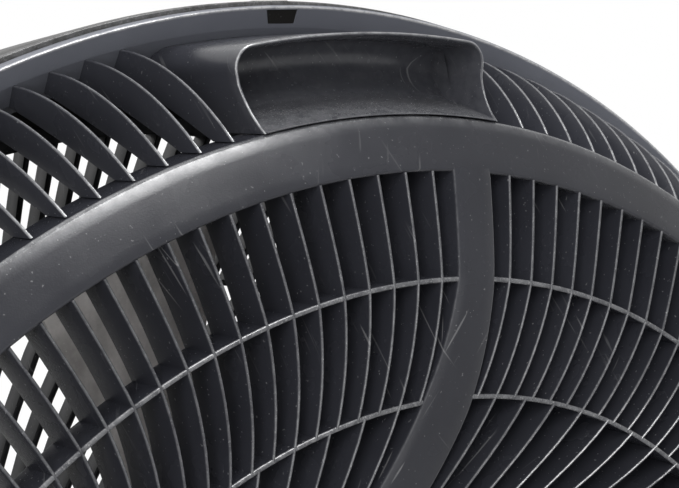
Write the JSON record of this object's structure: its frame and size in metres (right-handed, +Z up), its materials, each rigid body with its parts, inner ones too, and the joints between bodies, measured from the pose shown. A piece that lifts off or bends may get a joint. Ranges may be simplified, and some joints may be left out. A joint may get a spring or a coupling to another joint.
{
  "type": "floor fan",
  "caption": "Black floor fan with a tilting drum head, swirl-vane rear grille, recessed carry handle and a speed knob, on a low two-sided stand.",
  "frame": {"origin": "on the floor under the middle of the fan, at the bottom centre of its bounding box", "axes": "+Z up, the fan blows towards -Y, the switch side faces +Y, X is along the tilt axis"},
  "size_m": [0.65, 0.2924, 0.5905],
  "materials": {
    "rear_rim": "satin",
    "side_vanes": "satin",
    "rear_grille": "satin",
    "handle_scoop": "satin",
    "front_shell": "satin",
    "front_grille": "satin",
    "front_cap": "satin",
    "motor_rear_bell": "satin",
    "motor_front_bell": "satin",
    "stator_core": "plain",
    "stator_windings": "enamelled",
    "motor_rotor": "plain",
    "motor_shaft": "ground",
    "motor_bearings": "ground",
    "motor_screws": "zinc",
    "switch_case": "satin",
    "case_screws": "zinc",
    "rotary_switch": "plain",
    "switch_nut": "zinc",
    "switch_spindle": "plain",
    "capacitor": "plain",
    "cord_gland": "matte",
    "speed_knob": "satin",
    "fan_blade": "satin",
    "blade_nut": "satin",
    "stand_side_right": "satin",
    "stand_side_left": "satin",
    "stand_beam": "satin",
    "beam_screws": "zinc",
    "rubber_feet": "matte",
    "pivot_washers": "matte",
    "pivot_inserts": "plain",
    "tilt_knob_right": "satin",
    "tilt_knob_left": "satin",
    "tilt_stud_right": "zinc",
    "tilt_stud_left": "zinc"
  },
  "bodies": {
    "stand": {"stand_side_right": "stand_side_right", "stand_side_left": "stand_side_left", "stand_beam": "stand_beam", "beam_screws": "beam_screws", "rubber_feet": "rubber_feet", "pivot_washers": "pivot_washers"},
    "head": {"rear_rim": "rear_rim", "side_vanes": "side_vanes", "rear_grille": "rear_grille", "handle_scoop": "handle_scoop", "front_shell": "front_shell", "front_grille": "front_grille", "front_cap": "front_cap", "motor_rear_bell": "motor_rear_bell", "motor_front_bell": "motor_front_bell", "stator_core": "stator_core", "stator_windings": "stator_windings", "motor_bearings": "motor_bearings", "motor_screws": "motor_screws", "switch_case": "switch_case", "case_screws": "case_screws", "rotary_switch": "rotary_switch", "switch_nut": "switch_nut", "capacitor": "capacitor", "cord_gland": "cord_gland", "pivot_inserts": "pivot_inserts"},
    "rotor": {"fan_blade": "fan_blade", "blade_nut": "blade_nut", "motor_shaft": "motor_shaft", "motor_rotor": "motor_rotor"},
    "knob": {"speed_knob": "speed_knob", "switch_spindle": "switch_spindle"},
    "right_clamp": {"tilt_knob_right": "tilt_knob_right", "tilt_stud_right": "tilt_stud_right"},
    "left_clamp": {"tilt_knob_left": "tilt_knob_left", "tilt_stud_left": "tilt_stud_left"}
  },
  "joints": [
    {"name": "head_tilt", "type": "hinge", "parent": "stand", "child": "head", "pos_m": [0, 0, 0.318], "axis": [-1, 0, 0], "range_deg": [-15, 90]},
    {"name": "blade_spin", "type": "hinge", "parent": "head", "child": "rotor", "pos_m": [0, 0, 0.318], "axis": [0, -1, 0], "continuous": true},
    {"name": "speed_turn", "type": "hinge", "parent": "head", "child": "knob", "pos_m": [0, 0.11, 0.318], "axis": [0, -1, 0], "range_deg": [0, 135]},
    {"name": "right_clamp_turn", "type": "hinge", "parent": "stand", "child": "right_clamp", "pos_m": [0.31, 0, 0.318], "axis": [1, 0, 0], "range_deg": [0, 360]},
    {"name": "left_clamp_turn", "type": "hinge", "parent": "stand", "child": "left_clamp", "pos_m": [-0.31, 0, 0.318], "axis": [-1, 0, 0], "range_deg": [0, 360]}
  ]
}
